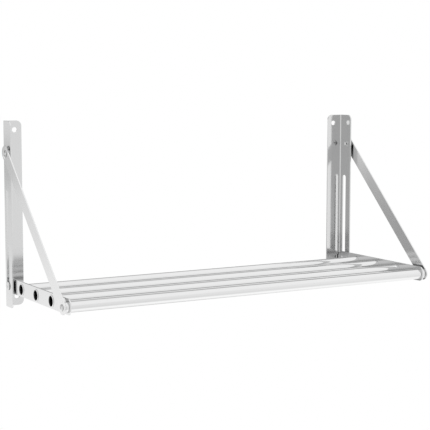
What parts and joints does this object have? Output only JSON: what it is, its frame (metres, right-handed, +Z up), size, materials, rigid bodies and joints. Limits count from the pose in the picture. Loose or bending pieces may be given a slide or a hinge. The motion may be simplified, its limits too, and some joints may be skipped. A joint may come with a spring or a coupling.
{
  "type": "towel rack",
  "caption": "Folding wall-mounted towel rack: a shelf of round tubes between flat arms, hung on diagonal struts from two slotted angle brackets, folding down flat against the wall.",
  "frame": {"origin": "on the wall, midway between the two brackets, level with their lower edges", "axes": "+X right along the tubes, +Y into the wall, +Z up"},
  "size_m": [0.6116, 0.2284, 0.272],
  "materials": {
    "bracket_steel": "polished stainless steel sheet",
    "strip_steel": "polished stainless steel strip",
    "tube_steel": "mirror-polished stainless steel tube",
    "fastener_steel": "turned stainless steel, satin",
    "washer_nylon": "black nylon"
  },
  "bodies": {
    "root": {"left_wall_bracket": "bracket_steel", "right_wall_bracket": "bracket_steel", "left_pivot_rivet": "fastener_steel", "right_pivot_rivet": "fastener_steel", "left_pivot_washer": "fastener_steel", "right_pivot_washer": "fastener_steel"},
    "slot_pins": {"left_slot_pin": "fastener_steel", "right_slot_pin": "fastener_steel", "left_pin_washer": "washer_nylon", "right_pin_washer": "washer_nylon"},
    "shelf": {"left_arm": "strip_steel", "right_arm": "strip_steel", "shelf_tube_1": "tube_steel", "shelf_tube_2": "tube_steel", "shelf_tube_3": "tube_steel", "front_tube": "tube_steel", "left_front_plug": "fastener_steel", "right_front_plug": "fastener_steel"},
    "left_strut_body": {"left_strut": "strip_steel", "left_front_rivet": "fastener_steel"},
    "right_strut_body": {"right_strut": "strip_steel", "right_front_rivet": "fastener_steel"}
  },
  "joints": [
    {"name": "shelf_fold", "type": "hinge", "parent": "slot_pins", "child": "shelf", "pos_m": [0, -0.013, 0.0315], "axis": [1, 0, 0], "range_deg": [0, 90]},
    {"name": "pin_slide", "type": "slide", "parent": "root", "child": "slot_pins", "axis": [0, 0, 1], "range_m": [0, 0.1208]},
    {"name": "left_strut_swing", "type": "hinge", "parent": "root", "child": "left_strut_body", "pos_m": [-0.3032, -0.0188, 0.2241], "axis": [1, 0, 0], "range_deg": [0, 47.3]},
    {"name": "right_strut_swing", "type": "hinge", "parent": "root", "child": "right_strut_body", "pos_m": [0.3032, -0.0188, 0.2241], "axis": [1, 0, 0], "range_deg": [0, 47.3]}
  ],
  "couplings": [
    {"joint": "pin_slide", "follows": "shelf_fold", "m_per_rad": 0.076887},
    {"joint": "left_strut_swing", "follows": "shelf_fold", "ratio": 0.52514},
    {"joint": "right_strut_swing", "follows": "shelf_fold", "ratio": 0.52514}
  ]
}
